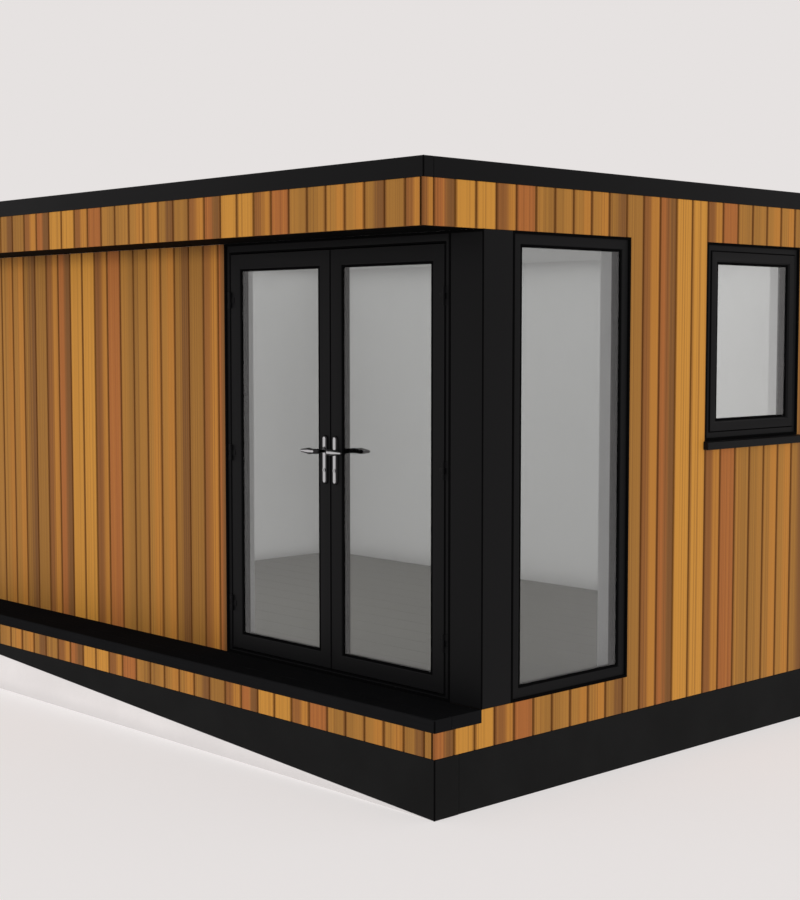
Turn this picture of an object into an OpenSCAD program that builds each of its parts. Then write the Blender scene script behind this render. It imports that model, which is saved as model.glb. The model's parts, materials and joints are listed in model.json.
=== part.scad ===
// Garden room: an insulated timber building on a black plinth, with a
// canopy and a deck along the front, French doors and two fixed windows.
// Millimetres. X runs along the front, Y to the back and Z up.
// The origin is the middle of the footprint, at the underside of the footing.

/* [Overall] */
// Width over the side cladding
width = 4500; // [4300:10:5400]
// Depth from the face of the front wall to the face of the back wall
depth = 3070; // [2900:10:4000]
// How far the roof reaches out in front of the front wall
canopy_out = 360; // [300:10:600]
// How far the deck reaches out in front of the front wall
deck_out = 290; // [240:10:400]

/* [Base] */
// Height of the plinth at the right end
plinth_high = 268; // [180:1:400]
// Height of the plinth at the left end, where the ground is higher
plinth_low = 20; // [10:1:150]
// Thickness of the plinth and of the footing under it
plinth_t = 150; // [100:5:200]
// Height of the boarded riser between the plinth and the deck's edge
riser_h = 114; // [80:1:200]
// Height of the deck's edge
nosing_h = 58; // [45:1:90]
// Thickness of the deck boards
deck_t = 28; // [20:1:35]
// Width of the deck board beside the wall
back_board_w = 183; // [120:1:200]
// Gap between the deck boards
board_gap = 4; // [2:1:8]
// Chamfer along the deck's edge
nosing_chamfer = 4; // [1:1:8]
// Thickness of the floor finish in the room
floor_t = 14; // [8:1:22]

/* [Walls] */
// Height from the deck to the soffit
wall_h = 2100; // [2000:10:2500]
// Thickness of the walls with their cladding
wall_t = 190; // [150:5:240]
// Thickness of the cladding
cladding_t = 20; // [16:1:28]
// Width of the black corner post along the front
post_w = 198; // [150:1:260]

/* [Roof] */
// Height of the boarded band round the roof
band_h = 200; // [150:5:300]
// Thickness of the ceiling and soffit sheets
lining_t = 12; // [9:1:18]
// Height of the black trim on the roof's edge
trim_h = 88; // [70:1:140]
// Width of the trim on top of the roof
trim_w = 60; // [40:1:100]
// How far the trim stands proud of the cladding
trim_out = 3; // [1:1:10]
// Gap between the lengths of trim
trim_gap = 1; // [0.5:0.5:3]
// How far the trim stands above the membrane at the front
upstand = 12; // [6:1:25]
// Fall of the membrane from the front to the back
roof_fall = 36; // [10:1:50]

/* [Doors] */
// Width of the door frame
door_w = 1632; // [1450:1:1800]
// Width of the jambs seen from the front
jamb_w = 42; // [35:1:70]
// Height of the frame's head
head_w = 50; // [40:1:80]
// Height of the threshold
threshold_h = 25; // [15:1:40]
// How far the frames are set back from the cladding's face
frame_set = 8; // [2:1:12]
// Depth of the door frame
door_frame_d = 88; // [85:1:110]
// How far the stop reaches in behind the leaves
stop_w = 14; // [10:1:25]
// Thickness of the leaves
leaf_t = 60; // [50:1:68]
// Gap round each leaf
leaf_gap = 5; // [5:0.5:8]
// Gap between the meeting stiles
meeting_gap = 10; // [10:0.5:14]
// Width of the stiles and rails
stile_w = 74; // [65:1:110]
// Chamfer round the glass
bead = 3; // [1:0.5:4]
// Thickness of the glass units
glass_t = 24; // [18:1:28]
// How far the glass is set back from the face of its bars
glass_set = 6; // [5:0.5:15]
// How far the glass reaches into its frame
glass_seat = 12; // [8:1:18]

/* [Door furniture] */
// Height of the levers above the deck
lever_z = 1085; // [950:5:1150]
// Length of a lever from its spindle
lever_len = 112; // [90:1:130]
// Room between the plate and the grip
lever_room = 44; // [28:1:55]
// From the edge of the leaf to the spindle
backset = 32; // [28:1:40]
// Radius of the lever's neck
neck_r = 8.5; // [7:0.5:10]
// Radius of the grip where it is thickest
grip_r = 11; // [9:0.5:14]
// Length over which the grip swells from the neck
grip_swell = 30; // [15:1:40]
// Radius of the grip's tip
tip_r = 5; // [3:0.5:7]
// Radius of the bend between the neck and the grip
bend_r = 18; // [14:1:25]
// Radius of the spindle
spindle_r = 5; // [4:0.5:6]
// Room round the spindle inside the leaf
spindle_room = 2; // [1:0.5:3]
// Gap between the neck and the face of the leaf
neck_gap = 1; // [0.5:0.5:2]
// Running fit of necks and hinge pins, on the radius
fit = 0.06; // [0.03:0.01:0.1]
// Width of a handle plate
plate_w = 34; // [28:1:45]
// Height of a handle plate
plate_h = 236; // [220:1:260]
// Thickness of a handle plate
plate_t = 10; // [7:1:14]
// From the lever's spindle to the top of the plate
plate_top = 76; // [50:1:90]
// From the lever's spindle down to the lock cylinder
cylinder_drop = 92; // [72:1:110]
// Radius of the lock cylinder
cylinder_r = 8.5; // [7:0.5:10]
// How far the lock cylinder stands out of its plate
cylinder_out = 3; // [2:0.5:6]

/* [Hinges] */
// Radius of the knuckles
knuckle_r = 6; // [5.5:0.5:9]
// Radius of the pin
pin_r = 3; // [2.5:0.5:4]
// Height of one knuckle
knuckle_h = 27; // [20:1:40]
// Gap between knuckles
knuckle_gap = 0.3; // [0.2:0.1:0.5]
// Gap between the knuckles and the face of the leaf
knuckle_air = 1; // [0.5:0.5:2]
// Width of a hinge flag
flag_w = 30; // [24:1:38]
// Thickness of a hinge flag
flag_t = 2.5; // [2:0.5:4]
// From the leaf's end to the middle of the first hinge
hinge_inset = 230; // [150:5:350]

/* [Windows] */
// Width of the tall window beside the corner post
tall_w = 820; // [700:5:900]
// Wall between the small window and the back wall
rear_w = 449; // [150:1:600]
// Width of the small window
small_w = 820; // [600:5:850]
// Height of the small window
small_h = 990; // [700:5:1200]
// Width of the fixed frame of the tall window
tall_frame_w = 58; // [45:1:70]
// Width of the outer frame of the small window
small_frame_w = 45; // [35:1:60]
// Width of the sash of the small window
sash_w = 50; // [40:1:65]
// How far the sash stands proud of its frame
sash_out = 5; // [2:1:7]
// Depth of the window frames
window_d = 70; // [60:1:90]
// Height of the sill
sill_h = 45; // [28:1:60]
// How far the sill stands out of the cladding
sill_out = 30; // [15:1:45]
// How far the sill runs past the window at each end
sill_horn = 15; // [5:1:30]
// Fall of the sill's top
sill_fall = 8; // [4:1:14]

/* [Hidden] */

$fn = 48;
over = 1;

black = [0.11, 0.11, 0.11];
deck_black = [0.06, 0.06, 0.06];
cedar = [0.70, 0.47, 0.24];
concrete = [0.86, 0.85, 0.84];
plaster = [0.80, 0.80, 0.79];
boards = [0.45, 0.44, 0.41];
membrane = [0.16, 0.16, 0.17];
pane = [0.72, 0.78, 0.78, 0.35];
bright = [0.78, 0.78, 0.79];

// Planes of the outer faces
x_left = -width / 2;
x_right = width / 2;
y_canopy = -(depth + canopy_out) / 2;
y_wall = y_canopy + canopy_out;
y_deck = y_wall - deck_out;
y_back = y_wall + depth;

// Levels
z_plinth = plinth_high;
z_ground_left = plinth_high - plinth_low;
z_lip = z_plinth + riser_h;
z_deck = z_lip + nosing_h;
z_soffit = z_deck + wall_h;
z_slab = z_soffit + lining_t;
z_band = z_soffit + band_h;
z_top = z_band + trim_h;

// Faces of the wall cores, under the cladding, and of the room
core_left = x_left + cladding_t;
core_right = x_right - cladding_t;
core_front = y_wall + cladding_t;
core_back = y_back - cladding_t;
room_left = x_left + wall_t;
room_right = x_right - wall_t;
room_front = y_wall + wall_t;
room_back = y_back - wall_t;

// Doorway and leaves
door_right = x_right - post_w;
door_left = door_right - door_w;
door_mid = (door_left + door_right) / 2;
door_face = y_wall + frame_set;
leaf_w = (door_w - meeting_gap) / 2 - jamb_w - leaf_gap;
leaf_bottom = z_deck + threshold_h + leaf_gap;
leaf_top = z_soffit - head_w - leaf_gap;
leaf_h = leaf_top - leaf_bottom;
leaf_back = door_face + leaf_t;
lever_level = z_deck + lever_z;
spindle_x = meeting_gap / 2 + backset;

// Hinge axes, in the middle of the gap beside each leaf
hinge_x = door_w / 2 - jamb_w - leaf_gap / 2;
hinge_y = door_face - knuckle_air - knuckle_r;
hinge_levels = [
    leaf_bottom + hinge_inset,
    (leaf_bottom + leaf_top) / 2,
    leaf_top - hinge_inset
];

// Windows in the right wall
tall_start = room_front;
tall_end = tall_start + tall_w;
small_end = room_back - rear_w;
small_start = small_end - small_w;
small_bottom = z_soffit - small_h;
sill_bottom = small_bottom - sill_h;
window_face = x_right - frame_set;
window_back = window_face - window_d;

// Box between two corners
module block(low, high) {
    translate(low) cube(high - low);
}

// Outline in X and Z, extruded from y0 to y1
module along_y(y0, y1) {
    translate([0, y1, 0]) rotate([90, 0, 0]) linear_extrude(y1 - y0) children();
}

// Outline in Y and Z, extruded from x0 to x1
module along_x(x0, x1) {
    translate([x0, 0, 0]) rotate([90, 0, 90]) linear_extrude(x1 - x0) children();
}

// Slot-shaped outline between two points on the X axis
module slot_outline(length, radius) {
    circle(r = radius);
    translate([length, 0]) circle(r = radius);
    translate([0, -radius]) square([length, 2 * radius]);
}

// Solid through rectangles set inside a frame of w by h, each at a depth and an inset
module framed_core(w, h, stations) {
    corners = [[0, 0], [1, 0], [1, 1], [0, 1]];
    last = len(stations) - 1;
    polyhedron(
        points = [for (s = stations, c = corners)
            [c[0] == 0 ? s[1] : w - s[1], s[0], c[1] == 0 ? s[1] : h - s[1]]],
        faces = concat(
            [[3, 2, 1, 0]],
            [for (i = [0 : last - 1], k = [0 : 3])
                [4 * i + k, 4 * i + (k + 1) % 4, 4 * i + 4 + (k + 1) % 4, 4 * i + 4 + k]],
            [[for (k = [0 : 3]) 4 * last + k]]));
}

// Opening of a glazed frame from its front to depth d, chamfered on both sides,
// with a groove for the glass
module glazed_opening(w, h, face, front, d) {
    framed_core(w, h, [
        [front - over, face - bead + front - over],
        [bead, face],
        [glass_set, face],
        [glass_set, face - glass_seat],
        [glass_set + glass_t, face - glass_seat],
        [glass_set + glass_t, face],
        [d - bead, face],
        [d + over, face - bead - over]
    ]);
}

// Plain frame of w by h round a glass unit, from the corner at the origin
module glazed_frame(w, h, face, d) {
    difference() {
        cube([w, d, h]);
        glazed_opening(w, h, face, 0, d);
    }
}

// Places a frame drawn in X and Z into the right wall, facing out
module in_right_wall(y, z) {
    translate([window_face, y, z]) rotate([0, 0, 90]) children();
}

// Front or back wall of the plinth, with its underside following the ground
module sloping_plinth(y) {
    color(black) along_y(y, y + plinth_t)
        polygon([[x_left, z_ground_left], [x_right, 0], [x_right, z_plinth], [x_left, z_plinth]]);
}

// Concrete wedge under a sloping plinth wall, level underneath
module sloping_footing(y) {
    color(concrete) along_y(y, y + plinth_t)
        polygon([[x_left, 0], [x_right, 0], [x_left, z_ground_left]]);
}

module footing_front() {
    sloping_footing(y_deck);
}

module footing_back() {
    sloping_footing(y_back - plinth_t);
}

module footing_left() {
    color(concrete) block(
        [x_left, y_deck + plinth_t, 0],
        [x_left + plinth_t, y_back - plinth_t, z_ground_left]);
}

module plinth_front() {
    sloping_plinth(y_deck);
}

module plinth_back() {
    sloping_plinth(y_back - plinth_t);
}

module plinth_left() {
    color(black) block(
        [x_left, y_deck + plinth_t, z_ground_left],
        [x_left + plinth_t, y_back - plinth_t, z_plinth]);
}

module plinth_right() {
    color(black) block(
        [x_right - plinth_t, y_deck + plinth_t, 0],
        [x_right, y_back - plinth_t, z_plinth]);
}

// Floor of the room, with a step down for the deck boards
module base_platform() {
    color(cedar) along_x(core_left, core_right) polygon([
        [y_deck + cladding_t, z_plinth],
        [core_back, z_plinth],
        [core_back, z_deck],
        [y_wall, z_deck],
        [y_wall, z_deck - deck_t],
        [y_deck + cladding_t, z_deck - deck_t]
    ]);
}

// Edge of a deck board on one end of the deck
module deck_end(y0, y1) {
    block([x_left, y0, z_lip], [core_left, y1, z_deck]);
    block([core_right, y0, z_lip], [x_right, y1, z_deck]);
}

module deck_back_board() {
    color(deck_black) {
        block([core_left, y_wall - back_board_w, z_deck - deck_t], [core_right, y_wall, z_deck]);
        deck_end(y_wall - back_board_w, y_wall);
    }
}

// Front board of the deck, turned down over the riser
module deck_nosing() {
    y_joint = y_wall - back_board_w - board_gap;
    color(deck_black) {
        along_x(x_left, x_right) polygon([
            [y_deck, z_lip],
            [y_deck + cladding_t, z_lip],
            [y_deck + cladding_t, z_deck],
            [y_deck + nosing_chamfer, z_deck],
            [y_deck, z_deck - nosing_chamfer]
        ]);
        block([core_left, y_deck + cladding_t, z_deck - deck_t], [core_right, y_joint, z_deck]);
        deck_end(y_deck + cladding_t, y_joint);
    }
}

// Floor boards of the room, running into the doorway and the tall window
module floor_finish() {
    z1 = z_deck + floor_t;
    color(boards) {
        block([room_left, room_front, z_deck], [room_right, room_back, z1]);
        block([door_left, door_face + door_frame_d, z_deck], [door_right, room_front, z1]);
        block([room_right, tall_start, z_deck], [window_back, tall_end, z1]);
    }
}

module front_wall() {
    color(plaster) block([core_left, core_front, z_deck], [door_left, room_front, z_soffit]);
}

module left_wall() {
    color(plaster) block([core_left, room_front, z_deck], [room_left, room_back, z_soffit]);
}

module back_wall() {
    color(plaster) block([core_left, room_back, z_deck], [core_right, core_back, z_soffit]);
}

module right_pier() {
    color(plaster) block([room_right, tall_end, z_deck], [core_right, small_start, z_soffit]);
}

// Wall under the small window, notched for the sill
module right_low_wall() {
    color(plaster) along_y(small_start, small_end) polygon([
        [room_right, z_deck],
        [core_right, z_deck],
        [core_right, sill_bottom],
        [window_back, sill_bottom],
        [window_back, small_bottom],
        [room_right, small_bottom]
    ]);
}

module right_rear_wall() {
    color(plaster) block([room_right, small_end, z_deck], [core_right, room_back, z_soffit]);
}

module corner_post() {
    color(black) block([door_right, y_wall, z_deck], [x_right, room_front, z_soffit]);
}

// Boards of the riser, the front wall and the band over the canopy
module front_cladding() {
    color(cedar) {
        block([core_left, y_deck, z_plinth], [core_right, y_deck + cladding_t, z_lip]);
        block([core_left, y_wall, z_deck], [door_left, core_front, z_soffit]);
        block([core_left, y_canopy, z_soffit], [core_right, y_canopy + cladding_t, z_band]);
    }
}

// Outline of a side in Y and Z, with the ends of the deck and the canopy
module side_outline() {
    polygon([
        [y_deck, z_plinth],
        [y_back, z_plinth],
        [y_back, z_band],
        [y_canopy, z_band],
        [y_canopy, z_soffit],
        [y_wall, z_soffit],
        [y_wall, z_lip],
        [y_deck, z_lip]
    ]);
}

module left_cladding() {
    color(cedar) along_x(x_left, core_left) side_outline();
}

module right_cladding() {
    color(cedar) along_x(core_right, x_right) difference() {
        side_outline();
        translate([y_wall - over, z_deck]) square([tall_end - y_wall + over, wall_h]);
        translate([small_start, sill_bottom]) square([small_w, small_h + sill_h]);
    }
}

module back_cladding() {
    color(cedar) block([core_left, core_back, z_plinth], [core_right, y_back, z_band]);
}

module ceiling() {
    color(plaster) block([core_left, y_wall, z_soffit], [core_right, core_back, z_slab]);
}

module canopy_soffit() {
    color(black) block([core_left, y_canopy + cladding_t, z_soffit], [core_right, y_wall, z_slab]);
}

module roof_slab() {
    color(plaster) block([core_left, y_canopy + cladding_t, z_slab], [core_right, core_back, z_band]);
}

// Roof covering between the lengths of trim, falling to the back
module roof_membrane() {
    inset = trim_w - trim_out;
    front_level = z_top - upstand;
    color(membrane) along_x(x_left + inset, x_right - inset) polygon([
        [y_canopy + inset, z_band],
        [y_back - inset, z_band],
        [y_back - inset, front_level - roof_fall],
        [y_canopy + inset, front_level]
    ]);
}

// Four lengths of trim, the back one level with the membrane as a drip edge
module roof_trim() {
    y0 = y_canopy - trim_out;
    y1 = y_back + trim_out;
    x0 = x_left - trim_out;
    x1 = x_right + trim_out;
    side_start = y0 + trim_w + trim_gap;
    color(black) {
        block([x0, y0, z_band], [x1, y0 + trim_w, z_top]);
        block([x0, side_start, z_band], [x0 + trim_w, y1, z_top]);
        block([x1 - trim_w, side_start, z_band], [x1, y1, z_top]);
        block(
            [x0 + trim_w + trim_gap, y1 - trim_w, z_band],
            [x1 - trim_w - trim_gap, y1, z_top - upstand - roof_fall]);
    }
}

// Door frame with a rebate for the leaves and a stop behind them
module door_frame() {
    rebate_back = leaf_back + leaf_gap;
    frame_back = door_face + door_frame_d;
    edge = jamb_w + stop_w;
    color(black) difference() {
        block([door_left, door_face, z_deck], [door_right, frame_back, z_soffit]);
        block(
            [door_left + jamb_w, door_face - over, z_deck + threshold_h],
            [door_right - jamb_w, rebate_back, z_soffit - head_w]);
        block(
            [door_left + edge, door_face - over, z_deck + threshold_h + stop_w],
            [door_right - edge, frame_back + over, z_soffit - head_w - stop_w]);
    }
}

// Mirrors a left-hand piece, drawn from the middle of the doorway, to the right
module on_side(side) {
    translate([door_mid, 0, 0]) mirror([side > 0 ? 1 : 0, 0, 0]) children();
}

// Flag of a hinge from its axis out along X, on the face of the frame or leaf
module hinge_flag(reach, z) {
    translate([min(0, reach), door_face - flag_t, z]) cube([abs(reach), flag_t, knuckle_h]);
}

// Fixed half of one hinge: two knuckles on a pin
module fixed_hinge(level) {
    pitch = knuckle_h + knuckle_gap;
    low = level - 1.5 * knuckle_h - knuckle_gap;
    translate([-hinge_x, 0, 0]) {
        for (z = [low, low + 2 * pitch]) {
            translate([0, hinge_y, z]) cylinder(r = knuckle_r, h = knuckle_h);
            hinge_flag(-flag_w, z);
        }
        translate([0, hinge_y, low]) cylinder(r = pin_r, h = 3 * knuckle_h + 2 * knuckle_gap);
    }
}

// Moving half of one hinge: the middle knuckle, bored for the pin
module moving_hinge(level) {
    low = level - knuckle_h / 2;
    translate([-hinge_x, 0, 0]) difference() {
        union() {
            translate([0, hinge_y, low]) cylinder(r = knuckle_r, h = knuckle_h);
            hinge_flag(flag_w, low);
        }
        translate([0, hinge_y, low - over]) cylinder(r = pin_r + fit, h = knuckle_h + 2 * over);
    }
}

module frame_hinges() {
    color(black) for (side = [-1, 1], level = hinge_levels) on_side(side) fixed_hinge(level);
}

module leaf_hinges(side) {
    color(black) for (level = hinge_levels) on_side(side) moving_hinge(level);
}

// Cylinder along Y on the axis of the left spindle
module on_spindle(y0, y1, radius) {
    translate([-spindle_x, y1, lever_level]) rotate([90, 0, 0]) cylinder(r = radius, h = y1 - y0);
}

// Left leaf, drawn from the middle of the doorway
module leaf(side) {
    color(black) on_side(side) difference() {
        translate([-meeting_gap / 2 - leaf_w, door_face, leaf_bottom])
            glazed_frame(leaf_w, leaf_h, stile_w, leaf_t);
        on_spindle(door_face - over, leaf_back + over, spindle_r + spindle_room);
    }
}

module leaf_glass(side) {
    edge = stile_w - glass_seat;
    color(pane) on_side(side) block(
        [-meeting_gap / 2 - leaf_w + edge, door_face + glass_set, leaf_bottom + edge],
        [-meeting_gap / 2 - edge, door_face + glass_set + glass_t, leaf_top - edge]);
}

// Plate of the left handle from y0 to y1, with its lock cylinder out to y2
module handle_plate(y0, y1, y_cylinder) {
    end_r = plate_w / 2;
    difference() {
        union() {
            along_y(y0, y1) translate([-spindle_x, lever_level + plate_top - end_r])
                rotate(-90) slot_outline(plate_h - plate_w, end_r);
            translate([0, 0, -cylinder_drop])
                on_spindle(min(y0, y_cylinder), max(y1, y_cylinder), cylinder_r);
        }
        on_spindle(y0 - over, y1 + over, neck_r + fit);
    }
}

module handle_plates(side) {
    color(bright) on_side(side) {
        handle_plate(door_face - plate_t, door_face, door_face - plate_t - cylinder_out);
        handle_plate(leaf_back, leaf_back + plate_t, leaf_back + plate_t + cylinder_out);
    }
}

// Round lever that leaves the leaf along Z, bends, swells along X and tapers to a domed tip
module lever_bar() {
    rise = plate_t + lever_room + neck_r;
    grip_mid = bend_r + grip_swell;
    grip_end = lever_len - tip_r;
    translate([0, 0, neck_gap]) cylinder(r = neck_r, h = rise - bend_r - neck_gap);
    translate([bend_r, 0, rise - bend_r]) rotate([90, 0, 0])
        rotate_extrude(angle = 90, start = 90) translate([bend_r, 0]) circle(r = neck_r);
    translate([bend_r, 0, rise]) rotate([0, 90, 0]) cylinder(r1 = neck_r, r2 = grip_r, h = grip_swell);
    translate([grip_mid, 0, rise]) rotate([0, 90, 0])
        cylinder(r1 = grip_r, r2 = tip_r, h = grip_end - grip_mid);
    translate([grip_end, 0, rise]) sphere(r = tip_r);
}

// Outer and inner lever on one spindle, pointing to the hinges
module lever(side) {
    color(bright) on_side(side) {
        on_spindle(door_face - plate_t, leaf_back + plate_t, spindle_r);
        translate([-spindle_x, door_face, lever_level]) rotate([90, 0, 0])
            mirror([1, 0, 0]) lever_bar();
        translate([-spindle_x, leaf_back, lever_level]) rotate([-90, 0, 0])
            mirror([1, 0, 0]) lever_bar();
    }
}

module tall_window_frame() {
    color(black) in_right_wall(tall_start, z_deck)
        glazed_frame(tall_w, wall_h, tall_frame_w, window_d);
}

module tall_window_glass() {
    edge = tall_frame_w - glass_seat;
    color(pane) in_right_wall(tall_start, z_deck) block(
        [edge, glass_set, edge],
        [tall_w - edge, glass_set + glass_t, wall_h - edge]);
}

// Outer frame of the small window with its closed sash
module small_window_frame() {
    color(black) in_right_wall(small_start, small_bottom) difference() {
        union() {
            cube([small_w, window_d, small_h]);
            block(
                [small_frame_w, -sash_out, small_frame_w],
                [small_w - small_frame_w, glass_set, small_h - small_frame_w]);
        }
        glazed_opening(small_w, small_h, small_frame_w + sash_w, -sash_out, window_d);
    }
}

module small_window_glass() {
    edge = small_frame_w + sash_w - glass_seat;
    color(pane) in_right_wall(small_start, small_bottom) block(
        [edge, glass_set, edge],
        [small_w - edge, glass_set + glass_t, small_h - edge]);
}

// Sill under the small window, falling to its nose
module window_sill() {
    nose = x_right + sill_out;
    nose_top = small_bottom - sill_fall;
    color(black) {
        along_y(small_start, small_end) polygon([
            [window_back, sill_bottom],
            [x_right, sill_bottom],
            [x_right, small_bottom - sill_fall * frame_set / (frame_set + sill_out)],
            [window_face, small_bottom],
            [window_back, small_bottom]
        ]);
        along_y(small_start - sill_horn, small_end + sill_horn) polygon([
            [x_right, sill_bottom],
            [nose, sill_bottom],
            [nose, nose_top],
            [x_right, small_bottom - sill_fall * frame_set / (frame_set + sill_out)]
        ]);
    }
}

footing_front();
footing_back();
footing_left();
plinth_front();
plinth_back();
plinth_left();
plinth_right();
base_platform();
deck_back_board();
deck_nosing();
floor_finish();
front_wall();
left_wall();
back_wall();
right_pier();
right_low_wall();
right_rear_wall();
corner_post();
front_cladding();
left_cladding();
right_cladding();
back_cladding();
ceiling();
canopy_soffit();
roof_slab();
roof_membrane();
roof_trim();
door_frame();
frame_hinges();
leaf(-1);  // left_door_leaf
leaf_glass(-1);  // left_door_glass
leaf_hinges(-1);  // left_leaf_hinges
handle_plates(-1);  // left_handle_plates
lever(-1);  // left_lever
leaf(1);  // right_door_leaf
leaf_glass(1);  // right_door_glass
leaf_hinges(1);  // right_leaf_hinges
handle_plates(1);  // right_handle_plates
lever(1);  // right_lever
tall_window_frame();
tall_window_glass();
small_window_frame();
small_window_glass();
window_sill();
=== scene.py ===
import json
import math
import random

import bmesh
import bpy
from mathutils import Matrix, Vector


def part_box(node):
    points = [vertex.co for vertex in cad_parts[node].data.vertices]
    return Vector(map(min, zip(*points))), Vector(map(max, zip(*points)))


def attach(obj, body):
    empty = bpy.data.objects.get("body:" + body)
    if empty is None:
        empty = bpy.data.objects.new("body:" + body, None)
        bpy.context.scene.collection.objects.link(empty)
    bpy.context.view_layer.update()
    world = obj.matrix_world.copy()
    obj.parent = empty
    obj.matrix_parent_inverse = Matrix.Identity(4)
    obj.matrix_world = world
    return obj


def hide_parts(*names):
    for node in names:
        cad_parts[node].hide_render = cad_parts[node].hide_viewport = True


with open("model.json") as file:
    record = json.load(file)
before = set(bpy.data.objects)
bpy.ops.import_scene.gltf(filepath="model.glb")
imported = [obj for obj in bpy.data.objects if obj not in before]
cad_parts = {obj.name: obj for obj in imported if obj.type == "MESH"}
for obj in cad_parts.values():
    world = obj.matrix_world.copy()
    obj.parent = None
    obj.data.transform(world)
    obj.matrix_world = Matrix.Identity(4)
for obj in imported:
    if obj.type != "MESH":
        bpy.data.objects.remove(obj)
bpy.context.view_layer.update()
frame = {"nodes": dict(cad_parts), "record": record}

bl_info = {
    "name": "Garden Room",
    "version": (1, 0, 0),
    "blender": (4, 5, 0),
    "location": "View3D > Sidebar > Garden Room",
    "description": "Dresses the garden room with cedar boards, black joinery, glazing and a lit room",
    "category": "Object",
}

SHARP_ANGLE = math.radians(35)
BEVEL_ANGLE = math.radians(40)
FACING_UP = 0.99
TINY = 1e-6
NEAR = 1e-4

# Axis through the wall of the side windows, and through the wall of the doors
SIDE_WALL, DOOR_WALL = 0, 1


def screen_colour(red, green, blue):
    """A colour as it reads on screen, 0 to 255 a channel, as linear light."""
    def linear(level):
        level /= 255
        return level / 12.92 if level <= 0.04045 else ((level + 0.055) / 1.055) ** 2.4
    return (linear(red), linear(green), linear(blue))


def scaled(colour, factor):
    """A colour made lighter or darker."""
    return tuple(channel * factor for channel in colour)


# Lines of the building, taken from the frame

LEFT_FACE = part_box("left_cladding")[0].x
(_, CANOPY_FACE, _), (RIGHT_FACE, BACK_FACE, _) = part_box("right_cladding")
(_, WALL_FACE, _), (_, _, SOFFIT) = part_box("corner_post")
(_, DECK_FACE, LIP_BOTTOM), (_, _, DECK_TOP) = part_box("deck_nosing")
(CORE_LEFT, _, PLINTH_TOP), (CORE_RIGHT, _, _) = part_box("base_platform")
BAND_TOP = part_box("roof_slab")[1].z
CLADDING = RIGHT_FACE - CORE_RIGHT


# Settings that a user would change

def length(name, description, default, low, high):
    """A length in metres."""
    return bpy.props.FloatProperty(
        name=name, description=description, default=default, min=low, max=high, unit="LENGTH")


def tint(name, description, red, green, blue):
    """A colour, given as it reads on screen."""
    return bpy.props.FloatVectorProperty(
        name=name, description=description, default=screen_colour(red, green, blue), subtype="COLOR")


def strength(name, description, default, unit="NONE"):
    """The strength or power of a light."""
    return bpy.props.FloatProperty(name=name, description=description, default=default, min=0, unit=unit)


class BoardSettings(bpy.types.PropertyGroup):
    """Sizes of the cedar boards and of the other boarded surfaces"""

    pitch: length("Board pitch", "From one cedar board to the next", 0.1275, 0.06, 0.25)
    gap: length("Board gap", "Shadow gap between two cedar boards", 0.010, 0.002, 0.02)
    groove: length(
        "Groove depth", "From the face of the boards to the backing in the gaps", 0.011, 0.004, 0.016)
    arris: length("Board edge", "Chamfer on the edges of the cedar boards", 0.0015, 0.0005, 0.004)
    rib: length("Deck rib pitch", "From one rib of the deck boards to the next", 0.0122, 0.006, 0.03)
    rib_groove: length("Deck groove", "Width of the grooves between the ribs", 0.0042, 0.002, 0.01)
    rib_depth: length("Deck groove depth", "Depth of the grooves between the ribs", 0.0022, 0.001, 0.005)
    plank_width: length("Floor plank width", "Width of the planks of the room's floor", 0.192, 0.08, 0.3)
    plank_length: length("Floor plank length", "Length of the planks of the room's floor", 1.285, 0.5, 2.5)
    soffit_board: length("Soffit board", "Width of the boards under the canopy", 0.113, 0.06, 0.2)
    seed: bpy.props.IntProperty(
        name="Seed", description="Picks the tones of the boards and planks", default=12, min=0)


class ColourSettings(bpy.types.PropertyGroup):
    """Colours of the finishes"""

    gold: tint("Gold cedar", "Palest, yellow cedar", 195, 136, 56)
    amber: tint("Amber cedar", "Warm orange cedar", 181, 121, 51)
    honey: tint("Honey cedar", "Middle tone of the cedar", 166, 115, 51)
    olive: tint("Olive cedar", "Dull greenish cedar", 154, 107, 48)
    russet: tint("Russet cedar", "Reddest cedar", 164, 99, 49)
    brown: tint("Brown cedar", "Brown cedar", 139, 88, 43)
    umber: tint("Umber cedar", "Darkest cedar", 121, 80, 41)
    # the dark grain colour also paints the shade along the edges of the cedar boards
    grain: tint("Dark grain", "Dark streaks and edges of the cedar boards", 104, 63, 29)
    shadow_gap: tint("Shadow gap", "Backing behind the cedar boards", 40, 24, 12)
    joinery: tint("Joinery black", "Powder coat of frames, post and trim", 12, 12, 13)
    plinth: tint("Plinth black", "Painted render of the plinth", 19, 19, 19)
    deck: tint("Deck black", "Composite boards of the deck", 23, 23, 24)
    footing: tint("Footing", "Cast concrete under the plinth", 230, 226, 225)
    plaster: tint("Plaster", "Painted walls and ceiling of the room", 196, 196, 195)
    planks: tint("Floor planks", "Grey laminate of the room's floor", 87, 86, 78)
    membrane: tint("Membrane", "Rubber sheet on the roof", 44, 44, 46)
    ground: tint("Floor", "Pale floor and backdrop", 230, 226, 225)


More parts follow.
